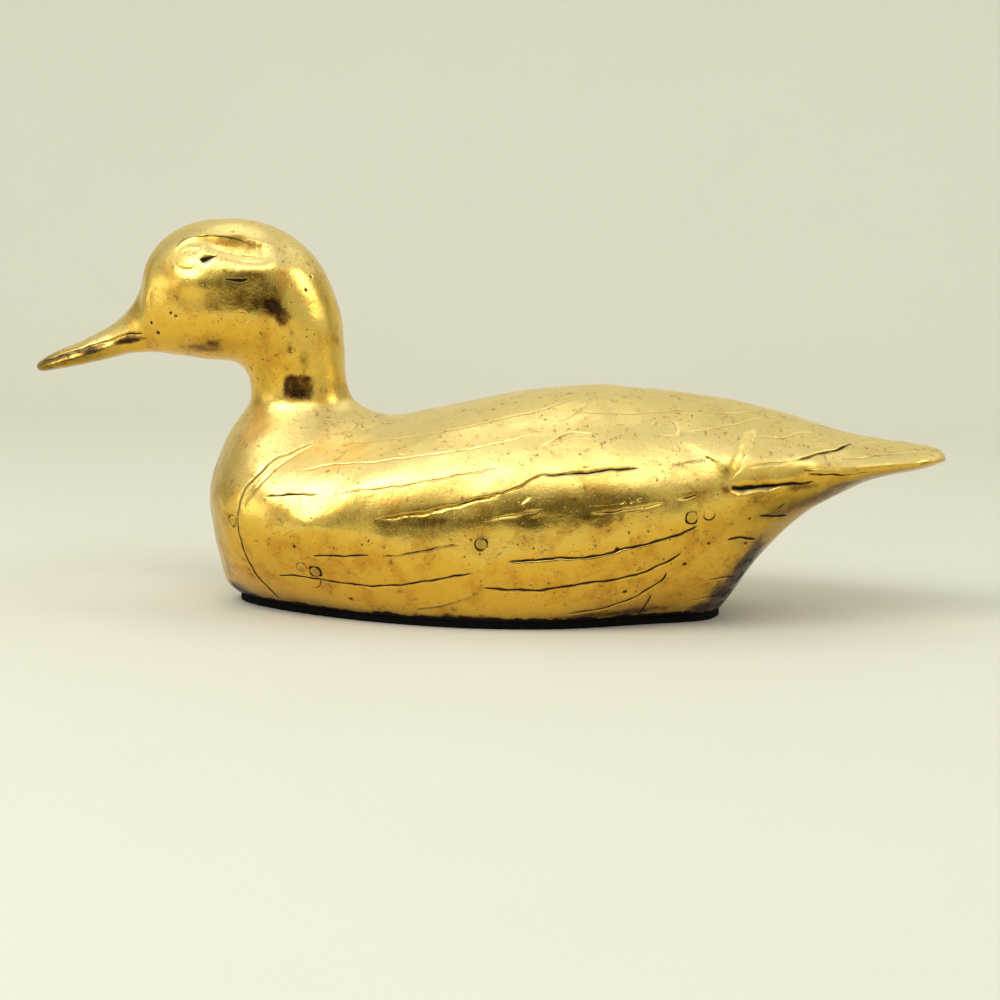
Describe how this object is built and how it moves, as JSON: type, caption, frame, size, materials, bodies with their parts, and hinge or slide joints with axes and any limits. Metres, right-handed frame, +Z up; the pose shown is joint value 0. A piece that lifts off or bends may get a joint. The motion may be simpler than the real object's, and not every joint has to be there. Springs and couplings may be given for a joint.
{
  "type": "duck figurine",
  "caption": "hollow cast brass duck ornament, head cast apart and brazed on the neck, base closed by a plate and covered with black felt",
  "frame": {"origin": "centre of the bounding box in plan, on the underside of the felt, so z = 0 is the surface the duck stands on", "axes": "+X runs from the bill to the tail, +Y is the duck's right side, +Z is up"},
  "size_m": [0.3, 0.098, 0.1268],
  "materials": {
    "polished_brass": "worn satin polish with dark patina in the carved lines",
    "braze": "filed flush and polished",
    "plate_brass": "as cast, dull",
    "plug_brass": "filed flush, slightly darker than the casting",
    "black_felt": "short matt pile"
  },
  "bodies": {
    "root": {"body_casting": "polished_brass", "head_casting": "polished_brass", "neck_braze": "braze", "base_plate": "plate_brass", "felt_pad": "black_felt", "core_plugs_left": "plug_brass", "core_plugs_right": "plug_brass", "core_plugs_head": "plug_brass"}
  },
  "joints": []
}
